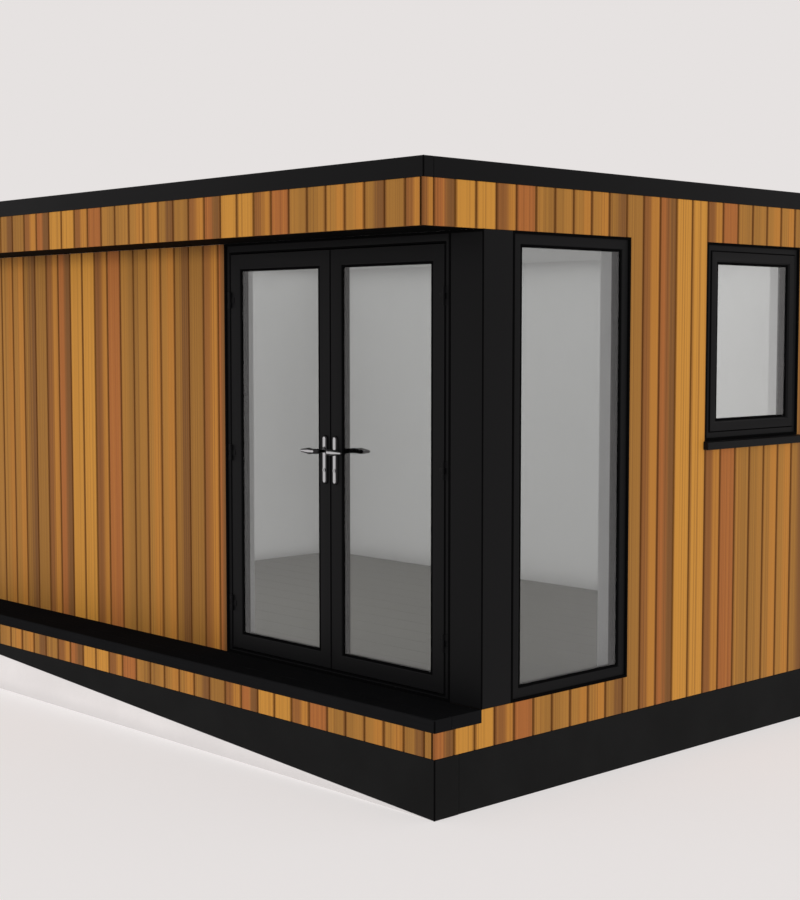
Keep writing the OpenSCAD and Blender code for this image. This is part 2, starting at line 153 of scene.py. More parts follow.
class ViewSettings(bpy.types.PropertyGroup):
    """Camera and light"""

    camera_place: bpy.props.FloatVectorProperty(
        name="Camera", description="Where the camera stands", subtype="TRANSLATION", unit="LENGTH",
        default=(7.199, -6.530, 2.106))
    camera_turn: bpy.props.FloatProperty(
        name="Camera turn", description="Turn of the camera to the left of the back direction",
        default=math.radians(46.591), subtype="ANGLE")
    camera_tilt: bpy.props.FloatProperty(
        name="Camera tilt", description="Tilt of the camera below the horizon",
        default=math.radians(4.168), subtype="ANGLE")
    lens: bpy.props.FloatProperty(
        name="Lens", description="Focal length of the camera in millimetres", default=66.05, min=10)
    sky: strength("Sky light", "Strength of the even light from all round", 0.42)
    key: strength("Key light", "Strength of the low sun in front of the corner", 1.80)
    room_power: strength("Room light", "Power of the soft lamp under the ceiling of the room", 31, "POWER")
    room_fill: strength(
        "Room fill", "Power of the soft lamps over the floor and on the front wall", 21, "POWER")


# Materials

class Value:
    """A shader socket that takes part in Python arithmetic."""

    def __init__(self, nodes, socket):
        self.nodes = nodes
        self.socket = socket

    def _math(self, operation, other):
        return self.nodes.add("ShaderNodeMath", {"operation": operation}, {0: self, 1: other})

    def __add__(self, other):
        return self._math("ADD", other)

    __radd__ = __add__

    def __mul__(self, other):
        return self._math("MULTIPLY", other)

    def size(self):
        """The value without its sign."""
        return self._math("ABSOLUTE", 0)

    def largest(self, other):
        """The larger of two values."""
        return self._math("MAXIMUM", other)

    def rise(self, low, high):
        """0 below low, 1 above high and smooth between them."""
        return self.nodes.add(
            "ShaderNodeMapRange", {"interpolation_type": "SMOOTHSTEP"},
            {"Value": self, "From Min": low, "From Max": high})


class Nodes:
    """A node tree and the nodes that are added to it."""

    def __init__(self, tree):
        self.tree = tree

    def add(self, kind, settings=None, inputs=None, output=0):
        """A new node with its settings and inputs, as the value of one of its outputs."""
        node = self.tree.nodes.new(kind)
        for name, setting in (settings or {}).items():
            setattr(node, name, setting)
        for key, value in (inputs or {}).items():
            self.join(node.inputs[key], value)
        return Value(self, node.outputs[output])

    def join(self, socket, value):
        """Links a value to a socket, or sets the socket to a constant."""
        if isinstance(value, Value):
            self.tree.links.new(value.socket, socket)
        elif socket.type == "RGBA" and len(value) == 3:
            socket.default_value = (*value, 1)
        else:
            socket.default_value = value

    def place(self, scale=(1, 1, 1)):
        """Coordinates of the surface, scaled along each axis."""
        spot = self.add("ShaderNodeTexCoord", output="Object")
        return self.add("ShaderNodeMapping", None, {"Vector": spot, "Scale": scale})

    def noise(self, spot, scale, detail=3.0, roughness=0.5):
        """Cloudy noise between 0 and 1."""
        return self.add(
            "ShaderNodeTexNoise", None,
            {"Vector": spot, "Scale": scale, "Detail": detail, "Roughness": roughness})

    def streaks(self, spot, width_count, length_count, detail):
        """Noise drawn out along a board."""
        stretch = self.add(
            "ShaderNodeMapping", None, {"Vector": spot, "Scale": (width_count, length_count, 1)})
        return self.noise(stretch, 1.0, detail)

    def blend(self, factor, first, second):
        """Mixes two colours."""
        return self.add(
            "ShaderNodeMix", {"data_type": "RGBA"}, {0: factor, 6: first, 7: second}, 2)

    def rays(self, *kinds):
        """1 for rays of some kinds and 0 for the others."""
        found = 0
        for kind in kinds:
            found = self.add("ShaderNodeLightPath", output=f"Is {kind} Ray").largest(found)
        return found

    def shades(self, factor, colour, dark, light):
        """Mixes a darker and a lighter shade of one colour."""
        return self.blend(factor, scaled(colour, dark), scaled(colour, light))

    def bump(self, height, strength, distance):
        """Normals raised by a height."""
        return self.add(
            "ShaderNodeBump", None, {"Height": height, "Strength": strength, "Distance": distance})


class Finish(Nodes):
    """One procedural material."""

    def __init__(self, name):
        self.material = bpy.data.materials.new(name)
        self.material.use_nodes = True
        super().__init__(self.material.node_tree)
        self.shader = self.tree.nodes["Principled BSDF"]

    def sockets(self, values):
        """Sets some of the shader's sockets and returns the material."""
        for name, value in values.items():
            self.join(self.shader.inputs[name], value)
        return self.material

    def surface(self, colour, roughness, specular, bump=None):
        """Sets what most finishes need and returns the material."""
        values = {"Base Color": colour, "Roughness": roughness, "Specular IOR Level": specular}
        if bump is not None:
            values["Normal"] = bump
        return self.sockets(values)


def cedar_finish(colours):
    """Oiled cedar: two tones side by side on each board, streaks along it, and painted shade that darkens
    each board along its edges beside the gaps.
    """
    cedar = Finish("cedar_boards")
    near = cedar.add("ShaderNodeAttribute", {"attribute_name": "tone"}, output="Color")
    far = cedar.add("ShaderNodeAttribute", {"attribute_name": "far_tone"}, output="Color")
    spot = cedar.add("ShaderNodeUVMap", {"uv_map": "board"})
    across = cedar.add("ShaderNodeSeparateXYZ", None, {0: spot}, "X")
    bands = cedar.streaks(spot, 2.6, 0.06, 1.0)
    ribbons = cedar.streaks(spot, 12.0, 0.12, 2.0)
    fibres = cedar.streaks(spot, 46.0, 0.8, 4.0)
    pores = cedar.streaks(spot, 150.0, 7.0, 2.0)
    # dark grain colour, also used for the painted shade along the board edges
    dark = tuple(colours.grain)
    body = cedar.blend((across + bands * 0.6).rise(0.1, 0.5), near, far)
    body = cedar.blend(ribbons.rise(0.50, 0.74) * 0.52, body, dark)
    body = cedar.blend(ribbons.rise(0.48, 0.24) * 0.28, body, scaled(colours.gold, 1.06))
    body = cedar.blend(fibres.rise(0.48, 0.78) * 0.18, body, dark)
    body = cedar.blend(pores.rise(0.58, 0.8) * 0.12, body, dark)
    # painted shade: each board grows darker towards both of its edges, as if shaded by the gaps beside it
    edges = across.size().rise(0.40, 0.52)
    body = cedar.blend(edges * 0.85, body, dark)
    relief = fibres * 0.6 + pores * 0.4
    return cedar.surface(body, 0.55 + fibres * 0.2, 0.15, cedar.bump(relief, 0.3, 0.0010))


def matt_finish(name, colour, dark, light, grain, roughness, specular):
    """Matt surface with a little dust: backing of the boards, seals, sealant and soffit, whose black is
    partly painted shade.
    """
    matt = Finish(name)
    dust = matt.noise(matt.place(), grain)
    return matt.surface(matt.shades(dust, colour, dark, light), roughness, specular)


def black_finish(name, colours):
    """Deep matt black."""
    return matt_finish(name, scaled(colours.deck, 0.2), 0.7, 1.3, 40, 0.8, 0.02)


def powder_coat_finish(name, colour):
    """Satin black powder coat with a fine texture."""
    coat = Finish(name)
    spot = coat.place()
    peel = coat.noise(spot, 520, 2)
    cloud = coat.noise(spot, 2.4)
    shade = coat.shades(cloud, colour, 0.86, 1.16)
    return coat.surface(shade, 0.42 + cloud * 0.12, 0.08, coat.bump(peel, 0.08, 0.0004))


def plinth_finish(colours):
    """Black masonry paint on a fine sand render."""
    render = Finish("plinth_render")
    spot = render.place()
    sand = render.noise(spot, 190, 4, 0.6)
    cloud = render.noise(spot, 3.0, 4)
    shade = render.shades(cloud.rise(0.3, 0.75), colours.plinth, 0.85, 1.22)
    return render.surface(shade, 0.86, 0.12, render.bump(sand, 0.4, 0.002))


def concrete_finish(colours):
    """Pale cast concrete with faint clouds, painted shade in its pinholes, and painted shade that darkens
    it towards the ground.
    """
    cast = Finish("cast_concrete")
    spot = cast.place()
    cloud = cast.noise(spot, 2.2, 5, 0.6)
    grit_and_pinhole_shade = cast.noise(spot, 120)
    shade = cast.shades(cloud.rise(0.3, 0.75), colours.footing, 0.95, 1.03)
    # painted shade in pinholes: dark specks where the grit noise is high
    shade = cast.blend(grit_and_pinhole_shade.rise(0.62, 0.8) * 0.15, shade, scaled(colours.footing, 0.7))
    height = cast.add("ShaderNodeSeparateXYZ", None, {0: spot}, "Z")
    # painted shade: the concrete darkens towards its bottom, where it meets the floor
    shade = cast.blend((height + cloud * 0.02).rise(0.0, 0.09), scaled(colours.footing, 0.86), shade)
    return cast.surface(shade, 0.9, 0.2, cast.bump(grit_and_pinhole_shade, 0.2, 0.0015))


def deck_finish(colours):
    """Black composite board with a brushed top."""
    deck = Finish("black_deck_board")
    brushed = deck.noise(deck.place((3.0, 240.0, 240.0)), 1.0)
    cloud = deck.noise(deck.place(), 4.0)
    shade = deck.shades(brushed * 0.6 + cloud * 0.4, colours.deck, 0.7, 1.5)
    return deck.surface(shade, 0.62 + brushed * 0.2, 0.0, deck.bump(brushed, 0.25, 0.0006))


def plaster_finish(colours):
    """Matt emulsion on plaster, with faint roller marks."""
    wall = Finish("painted_plaster")
    spot = wall.place()
    roller = wall.noise(spot, 60)
    cloud = wall.noise(spot, 1.4)
    shade = wall.shades(cloud, colours.plaster, 0.97, 1.03)
    return wall.surface(shade, 0.82 + roller * 0.14, 0.15)


def plank_finish(colours):
    """Grey laminate plank with a soft printed grain."""
    plank = Finish("floor_planks")
    tone = plank.add("ShaderNodeAttribute", {"attribute_name": "tone"}, output="Color")
    spot = plank.add("ShaderNodeUVMap", {"uv_map": "board"})
    ribbons = plank.streaks(spot, 7.0, 0.9, 3.0)
    fibres = plank.streaks(spot, 40.0, 2.6, 4.0)
    shade = plank.blend(ribbons.rise(0.4, 0.75) * 0.35, tone, scaled(colours.planks, 0.72))
    shade = plank.blend(fibres.rise(0.45, 0.8) * 0.25, shade, scaled(colours.planks, 0.6))
    return plank.surface(shade, 0.5 + fibres * 0.15, 0.2, plank.bump(fibres, 0.1, 0.0005))


def membrane_finish(colours):
    """Matt rubber roof sheet with chalky patches."""
    sheet = Finish("roof_membrane")
    spot = sheet.place()
    chalk = sheet.noise(spot, 1.1, 6, 0.62)
    ripple = sheet.noise(sheet.place((1.0, 0.25, 1.0)), 3.0, 2)
    shade = sheet.shades(chalk.rise(0.35, 0.75), colours.membrane, 0.85, 1.5)
    return sheet.surface(shade, 0.7 + chalk * 0.2, 0.25, sheet.bump(ripple, 0.25, 0.006))


def chrome_finish(name, tone):
    """Polished chrome with faint wiping marks; tone is how much light it mirrors."""
    chrome = Finish(name)
    smear = chrome.noise(chrome.place((30.0, 30.0, 8.0)), 1.0)
    colour = (tone, tone, tone * 1.03)
    return chrome.sockets({"Base Color": colour, "Metallic": 1.0, "Roughness": 0.08 + smear * 0.1})


def glass_finish(name, colour):
    """Float glass."""
    return Finish(name).sockets({
        "Base Color": colour, "Roughness": 0.0, "IOR": 1.45, "Transmission Weight": 1.0})


MAKERS = {
    "cedar": cedar_finish,
    "backing": lambda colours: matt_finish(
        "cladding_backing", colours.shadow_gap, 0.75, 1.15, 60, 0.9, 0.1),
    "powder_coat": lambda colours: powder_coat_finish("black_powder_coat", colours.joinery),
    # a darker copy of the joinery's powder coat for the roof trim: painted shade, as the trim catches more
    # light than the post
    "trim_coat": lambda colours: powder_coat_finish("black_trim_coat", scaled(colours.joinery, 0.8)),
    "plinth": plinth_finish,
    "concrete": concrete_finish,
    "deck": deck_finish,
    "plaster": plaster_finish,
    "planks": plank_finish,
    "membrane": membrane_finish,
    "rubber": lambda colours: black_finish("black_seal", colours),
    # the soffit boards are black, darkened further as painted shade, since they face down over the bright
    # floor
    "soffit": lambda colours: black_finish("soffit_black", colours),
    "chrome": lambda colours: chrome_finish("polished_chrome", 0.55),
    # near-black chrome: a painted dark reflection of the black frame, for faces that turn away from the
    # front
    "painted_dark_reflection": lambda colours: chrome_finish("shaded_chrome", 0.03),
    "clear_glass": lambda colours: glass_finish("clear_glass", (0.995, 1.0, 1.0)),
    "grey_glass": lambda colours: glass_finish("grey_glass", (0.80, 0.805, 0.805)),
}
FINISHES = {}


def finish(name):
    """The shared material of that name, made when it is first asked for."""
    if name not in FINISHES:
        FINISHES[name] = MAKERS[name](bpy.context.scene.garden_room_colours)
    return FINISHES[name]


# Mesh helpers

def add_object(name, data):
    """A new object of the scene."""
    made = bpy.data.objects.new(name, data)
    bpy.context.scene.collection.objects.link(made)
    return made


def add_mesh(name, bm):
    """Turns a bmesh into an object of the scene."""
    if not bm.faces:
        raise ValueError(f"{name} has no faces")
    mesh = bpy.data.meshes.new(name)
    bm.to_mesh(mesh)
    bm.free()
    return add_object(name, mesh)


def add_piece(name, bm, finishes, body, replaced=(), smooth=False):
    """Turns a bmesh into a piece of the object that rides on a body."""
    piece = add_mesh(name, bm)
    for item in finishes:
        piece.data.materials.append(finish(item))
    if smooth:
        piece.data.polygons.foreach_set("use_smooth", [True] * len(piece.data.polygons))
        piece.data.set_sharp_from_angle(angle=SHARP_ANGLE)
    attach(piece, body)
    if replaced:
        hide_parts(*replaced)
    return piece


def add_seal(name, bm, body="building"):
    """A black piece of rubber or sealant."""
    add_piece(name, bm, ["rubber"], body)


def add_block(bm, low, high):
    """A box between two corners; returns its vertices."""
    low, high = Vector(low), Vector(high)
    size = high - low
    place = Matrix.Translation((low + high) / 2) @ Matrix.Diagonal((*size, 1))
    return bmesh.ops.create_cube(bm, size=1.0, matrix=place)["verts"]


def turn_outwards(bm):
    """Turns all faces of a bmesh outwards."""
    bmesh.ops.recalc_face_normals(bm, faces=bm.faces[:])


def split(bm, axis, at, parts=None):
    """Splits a bmesh, or only some parts of it, across an axis."""
    normal = Vector((0, 0, 0))
    normal[axis] = 1
    parts = parts or bm.verts[:] + bm.edges[:] + bm.faces[:]
    bmesh.ops.bisect_plane(bm, geom=parts, plane_co=normal * at, plane_no=normal, dist=TINY)


def push(bm, faces, vector, keep):
    """Extrudes faces along a vector, and keeps or drops the faces that they grow from."""
    grown = bmesh.ops.extrude_face_region(bm, geom=faces, use_keep_orig=keep)
    moved = [item for item in grown["geom"] if isinstance(item, bmesh.types.BMVert)]
    bmesh.ops.translate(bm, verts=moved, vec=vector)


def merge_flat(bm, angle):
    """Joins neighbouring faces that meet at less than an angle."""
    bmesh.ops.dissolve_limit(
        bm, angle_limit=angle, verts=bm.verts[:], edges=bm.edges[:], use_dissolve_boundaries=False)


def merged_copy(node):
    """A bmesh of a CAD node with its triangles joined into clean faces."""
    bm = bmesh.new()
    bm.from_mesh(frame["nodes"][node].data)
    weld, flat = 1e-5, math.radians(0.4)
    bmesh.ops.remove_doubles(bm, verts=bm.verts, dist=weld)
    merge_flat(bm, flat)
    return bm


def body_of(node):
    """The body that a CAD node rides on."""
    bodies = frame["record"]["behaviour"]["bodies"]
    return next(body for body, nodes in bodies.items() if node in nodes)


def dressed_node(node, name, item, width):
    """A merged copy of a CAD node with softened edges, in its place."""
    piece = add_piece(name, merged_copy(node), [item], body_of(node), [node], smooth=True)
    bevel = piece.modifiers.new("soft_edges", "BEVEL")
    bevel.width = width
    bevel.segments = 2
    bevel.limit_method = "ANGLE"
    bevel.angle_limit = BEVEL_ANGLE
    bevel.harden_normals = True


def paint_node(node, item):
    """Gives a CAD node a finish of this scene."""
    materials = frame["nodes"][node].data.materials
    materials.clear()
    materials.append(finish(item))


def facing(angle, place):
    """Puts a sheet drawn in X and Z, with its depth along Y, on a wall."""
    return Matrix.Translation(place) @ Matrix.Rotation(angle, 4, "Z")


def lying(height, into):
    """Lays a sheet drawn in X and Z level, with its depth up or down by the sign of into."""
    return Matrix(((1, 0, 0, 0), (0, 0, 1, 0), (0, into, 0, height), (0, 0, 0, 1)))


class Sheet:
    """A boarded surface, drawn flat: X across the boards, Z along them and Y into the wall."""

    def __init__(self, low, high, voids=()):
        self.low = low
        self.high = high
        self.voids = voids

    def _cut(self, bm):
        for u0, u1, v0, v1 in self.voids:
            for axis, at in ((0, u0), (0, u1), (2, v0), (2, v1)):
                split(bm, axis, at)
            centres = [(face, face.calc_center_median()) for face in bm.faces]
            inside = [face for face, middle in centres if u0 < middle.x < u1 and v0 < middle.z < v1]
            bmesh.ops.delete(bm, geom=inside, context="FACES")
        merge_flat(bm, angle=0.01)

    def solid(self, spans, front, back):
        """One bmesh with a flat solid for each span (u0, u1, v0, v1), cut round the voids."""
        bm = bmesh.new()
        for u0, u1, v0, v1 in spans:
            corners = [(u0, v0), (u1, v0), (u1, v1), (u0, v1)]
            bm.faces.new([bm.verts.new((u, front, v)) for u, v in corners])
        self._cut(bm)
        turn_outwards(bm)
        push(bm, bm.faces[:], (0, back - front, 0), keep=True)
        turn_outwards(bm)
        return bm

    def boards(self, spans, thickness, arris):
        """Boards with softened edges on their front."""
        bm = self.solid(spans, 0, thickness)
        rim = [e for e in bm.edges if all(abs(v.co.y) < TINY for v in e.verts)]
        bmesh.ops.bevel(
            bm, geom=rim, offset=arris, segments=2, profile=0.5, affect="EDGES", material=-1,
            clamp_overlap=True)
        return bm

    def backing(self, front, back):
        """The plain sheet behind the boards."""
        (u0, v0), (u1, v1) = self.low, self.high
        return self.solid([(u0, u1, v0, v1)], front, back)

    def upright_spans(self, pitch, gap, start):
        """Spans of boards of one pitch, with a joint at start, over the whole sheet."""
        (u0, v0), (u1, v1) = self.low, self.high
        places = range(math.floor((u0 - start) / pitch), math.ceil((u1 - start) / pitch))
        joints = [(start + place * pitch, start + (place + 1) * pitch) for place in places]
        spans = [(max(left + gap / 2, u0), min(right - gap / 2, u1), v0, v1) for left, right in joints]
        return [span for span in spans if span[1] - span[0] > gap]


def tone_boards(bm, spans, tones, along, rng):
    """Gives each board its two tones, and coordinates across it and along its long axis."""
    near_layer = bm.verts.layers.float_color.new("tone")
    far_layer = bm.verts.layers.float_color.new("far_tone")
    uv_layer = bm.loops.layers.uv.new("board")
    offsets = [rng.uniform(0, 400) for _ in spans]
    across = 2 - along
    for face in bm.faces:
        spot = face.calc_center_median()
        index = next(
            index for index, (u0, u1, v0, v1) in enumerate(spans)
            if u0 - NEAR <= spot.x <= u1 + NEAR and v0 - NEAR <= spot.z <= v1 + NEAR)
        near, far = tones[index]
        start, end = spans[index][across:across + 2]
        middle = (start + end) / 2
        for loop in face.loops:
            point = loop.vert.co
            loop[uv_layer].uv = ((point[across] - middle) / (end - start), point[along] + offsets[index])
            loop.vert[near_layer] = (*near, 1)
            loop.vert[far_layer] = (*far, 1)


def join_meshes(target, bm, material, place):
    """Moves a bmesh into place and adds it to another one."""
    bmesh.ops.transform(bm, matrix=place, verts=bm.verts[:])
    for face in bm.faces:
        face.material_index = material
    mesh = bpy.data.meshes.new("part")
    bm.to_mesh(mesh)
    bm.free()
    target.from_mesh(mesh)
    bpy.data.meshes.remove(mesh)


def add_ring(bm, low, high, axis, start, depth, width, inset=0.0):
    """A rectangular ring inside the outline of a box, that goes through a wall from start by depth."""
    across = 1 - axis
    left, right = low[across] + inset, high[across] - inset
    bottom, top = low.z + inset, high.z - inset
    ring = bmesh.new()
    corners = [(left, bottom), (right, bottom), (right, top), (left, top)]
    face = ring.faces.new([ring.verts.new((u, 0, v)) for u, v in corners])
    face.normal_update()
    bmesh.ops.inset_region(
        ring, faces=[face], use_boundary=True, thickness=width, use_even_offset=True)
    bmesh.ops.delete(ring, geom=[face], context="FACES")
    push(ring, ring.faces[:], (0, depth, 0), keep=True)
    turn_outwards(ring)
    if axis == DOOR_WALL:
        place = facing(0, (0, start, 0))
    else:
        place = facing(math.pi / 2, (start + depth, 0, 0))
    join_meshes(bm, ring, 0, place)


# Operators

class GARDENROOM_OT_stage(bpy.types.Operator):
    """Sets up the camera, the pale floor and the soft light"""

    bl_idname = "garden_room.stage"
    bl_label = "Stage"

    def execute(self, context):
        view = context.scene.garden_room_view
        colours = context.scene.garden_room_colours
        self.camera(context, view)
        self.ground(colours)
        self.world(context, view, colours)
        self.lamps(view)
        context.scene.view_settings.view_transform = "Standard"
        return {"FINISHED"}

    def camera(self, context, view):
        data = bpy.data.cameras.new("camera")
        data.lens = view.lens
        camera = add_object("camera", data)
        camera.location = view.camera_place
        camera.rotation_euler = (math.pi / 2 - view.camera_tilt, 0, view.camera_turn)
        context.scene.camera = camera

    def ground(self, colours):
        reach = 60.0
        bm = bmesh.new()
        bmesh.ops.create_grid(bm, x_segments=1, y_segments=1, size=reach)
        floor = add_mesh("floor", bm)
        floor.data.materials.append(self.pale_floor(colours))

    def pale_floor(self, colours):
        """Pale ground that keeps its shadow, and is even where it is mirrored or seen through glass."""
        lit_share, glow = 0.60, 0.735
        colour = tuple(colours.ground)
        pale = Finish("pale_floor")
        pale.surface(scaled(colour, lit_share), 0.95, 0.0)
        pale.sockets({"Emission Color": colour, "Emission Strength": glow})
        even = pale.add("ShaderNodeEmission", None, {"Color": colour})
        lit = Value(pale, pale.shader.outputs[0])
        indirect = pale.rays("Glossy", "Transmission")
        mix = pale.add("ShaderNodeMixShader", None, {0: indirect, 1: lit, 2: even})
        pale.join(pale.tree.nodes["Material Output"].inputs["Surface"], mix)
        pale.material.cycles.emission_sampling = "NONE"
        return pale.material

    def world(self, context, view, colours):
        world = bpy.data.worlds.new("studio")
        context.scene.world = world
        world.use_nodes = True
        studio = Nodes(world.node_tree)
        even = studio.add("ShaderNodeBackground", None, {"Color": (1, 1, 1), "Strength": view.sky})
        seen = studio.add("ShaderNodeBackground", None, {"Color": tuple(colours.ground)})
        direct = studio.rays("Camera", "Glossy", "Transmission")
        mix = studio.add("ShaderNodeMixShader", None, {0: direct, 1: even, 2: seen})
        studio.join(studio.tree.nodes["World Output"].inputs["Surface"], mix)

    def lamps(self, view):
        """A low sun, and three soft lamps in the room."""
        height, softness = math.radians(5), math.radians(12)
        sun = bpy.data.lights.new("key", "SUN")
        sun.energy = view.key
        sun.angle = softness
        beam = (-math.cos(height), math.cos(height), -math.sqrt(2) * math.sin(height))
        self.hang(sun, (6, -6, 4), beam)
        clear, middle, front_share = 0.006, 0.18, 0.75
        level_size, front_size = (4.0, 2.5), (4.0, 1.8)
        x = (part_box("left_wall")[1].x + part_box("right_pier")[0].x) / 2
        bottom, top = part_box("floor_finish")[1].z + clear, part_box("ceiling")[0].z - clear
        front = (x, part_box("front_wall")[1].y + clear, (bottom + top) / 2)
        for name, place, beam, size, power in (
            ("room_top", (x, middle, top), (0, 0, -1), level_size, view.room_power),
            ("room_bottom", (x, middle, bottom), (0, 0, 1), level_size, view.room_fill),
            ("room_front", front, (0, 1, 0), front_size, view.room_fill * front_share),
        ):
            lamp = bpy.data.lights.new(name, "AREA")
            lamp.shape = "RECTANGLE"
            lamp.size, lamp.size_y = size
            lamp.energy = power
            self.hang(lamp, place, beam)

    def hang(self, data, place, beam):
        """Puts up a lamp that isn't seen itself."""
        lamp = add_object(data.name, data)
        lamp.location = place
        lamp.rotation_euler = Vector(beam).to_track_quat("-Z", "Y").to_euler()
        lamp.visible_camera = False
        lamp.visible_glossy = False
        lamp.visible_transmission = False


class GARDENROOM_OT_base(bpy.types.Operator):
    """Finishes the plinth and the footing"""

    bl_idname = "garden_room.base"
    bl_label = "Base"

    def execute(self, context):
        for side in ("front", "back", "left", "right"):
            dressed_node(f"plinth_{side}", f"plinth_{side}_render", "plinth", width=0.004)
        for side in ("front", "back", "left"):
            paint_node(f"footing_{side}", "concrete")
        paint_node("base_platform", "backing")
        return {"FINISHED"}


# Order of the cedar boards, with the tone of the left and of the right part of each
LAYING_ORDER = (
    ("olive", "umber"), ("olive", "olive"), ("brown", "amber"), ("russet", "umber"),
    ("gold", "gold"), ("gold", "gold"), ("brown", "amber"), ("russet", "russet"),
    ("honey", "olive"), ("olive", "honey"), ("honey", "amber"), ("honey", "amber"),
)


class GARDENROOM_OT_cladding(bpy.types.Operator):
    """Lays the cedar boards on the walls, the riser and the band round the roof"""

    bl_idname = "garden_room.cladding"
    bl_label = "Cladding"

    def execute(self, context):
        self.sizes = context.scene.garden_room_boards
        self.colours = context.scene.garden_room_colours
        self.rng = random.Random(self.sizes.seed)
        door_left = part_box("door_frame")[0].x
        self.clad("front_boards", "front_cladding", [
            (Sheet((CORE_LEFT, bottom), (right, top)), facing(0, (0, face, 0)), joint, 0)
            for bottom, top, right, face, joint in (
                (PLINTH_TOP, LIP_BOTTOM, CORE_RIGHT, DECK_FACE, 2.057),
                (DECK_TOP, SOFFIT, door_left, WALL_FACE, -0.014),
                (SOFFIT, BAND_TOP, CORE_RIGHT, CANOPY_FACE, 0.354))])
        ends = [
            (CANOPY_FACE, DECK_FACE, PLINTH_TOP, SOFFIT),
            (DECK_FACE, WALL_FACE, LIP_BOTTOM, SOFFIT),
        ]
        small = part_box("small_window_frame")
        openings = [
            (WALL_FACE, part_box("tall_window_frame")[1].y, DECK_TOP, SOFFIT),
            (small[0].y, small[1].y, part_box("window_sill")[0].z, SOFFIT),
        ]
        self.clad("right_boards", "right_cladding", [
            (Sheet((CANOPY_FACE, PLINTH_TOP), (BACK_FACE, BAND_TOP), ends + openings),
             facing(math.pi / 2, (RIGHT_FACE, 0, 0)), -0.506, 0)])
        mirrored = [(-u1, -u0, v0, v1) for u0, u1, v0, v1 in ends]
        self.clad("left_boards", "left_cladding", [
            (Sheet((-BACK_FACE, PLINTH_TOP), (-CANOPY_FACE, BAND_TOP), mirrored),
             facing(-math.pi / 2, (LEFT_FACE, 0, 0)), 0.506, 7)])
        self.clad("back_boards", "back_cladding", [
            (Sheet((-CORE_RIGHT, PLINTH_TOP), (-CORE_LEFT, BAND_TOP)),
             facing(math.pi, (0, BACK_FACE, 0)), -CORE_RIGHT, 5)])
        return {"FINISHED"}

    def tones(self, spans, joint, order):
        """The two tones of each board; the one after the joint has that place in the order."""
        picks = []
        for u0, u1, _, _ in spans:
            place = math.floor(((u0 + u1) / 2 - joint) / self.sizes.pitch) + order
            shade = self.rng.uniform(0.96, 1.04)
            names = LAYING_ORDER[place % len(LAYING_ORDER)]
            picks.append([scaled(getattr(self.colours, name), shade) for name in names])
        return picks

    def clad(self, name, node, sheets):
        """Boards and backing of sheets, each with its place, a joint and the next board's order."""
        behind = 0.001
        whole = bmesh.new()
        for sheet, place, joint, order in sheets:
            spans = sheet.upright_spans(self.sizes.pitch, self.sizes.gap, joint)
            boards = sheet.boards(spans, CLADDING - behind, self.sizes.arris)
            tone_boards(boards, spans, self.tones(spans, joint, order), 2, self.rng)
            join_meshes(whole, boards, 0, place)
            join_meshes(whole, sheet.backing(self.sizes.groove, CLADDING), 1, place)
        add_piece(name, whole, ["cedar", "backing"], "building", [node])


class GARDENROOM_OT_deck(bpy.types.Operator):
    """Cuts the ribs of the deck boards"""

    bl_idname = "garden_room.deck"
    bl_label = "Deck"

    def execute(self, context):
        sizes = context.scene.garden_room_boards
        for node, name in (("deck_back_board", "deck_board_back"), ("deck_nosing", "deck_board_front")):
            low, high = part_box(node)
            bm = merged_copy(node)
            self.groove(bm, sizes, low.y, high.y, high.z)
            add_piece(name, bm, ["deck"], "building", [node])
        return {"FINISHED"}

    def groove(self, bm, sizes, front, back, top):
        margin = 0.014
        ends = (CORE_LEFT + margin, CORE_RIGHT - margin)
        count = int((back - front - 2 * margin + sizes.rib_groove) / sizes.rib)
        first = (front + back - (count - 1) * sizes.rib) / 2
        middles = [first + index * sizes.rib for index in range(count)]
        lines = [m + side * sizes.rib_groove / 2 for m in middles for side in (-1, 1)]
        for axis, at in [(0, x) for x in ends] + [(1, y) for y in lines]:
            cover = self.cover(bm, top)
            parts = {e for f in cover for e in f.edges} | {v for f in cover for v in f.verts}
            split(bm, axis, at, cover + list(parts))
        bm.normal_update()
        sunk = [
            face for face in self.cover(bm, top) if ends[0] < face.calc_center_median().x < ends[1]
            and any(abs(face.calc_center_median().y - m) < sizes.rib_groove / 4 for m in middles)]
        push(bm, sunk, (0, 0, -sizes.rib_depth), keep=False)

    def cover(self, bm, top):
        """Faces on top of a deck board."""
        return [f for f in bm.faces if f.normal.z > FACING_UP and f.calc_center_median().z > top - NEAR]


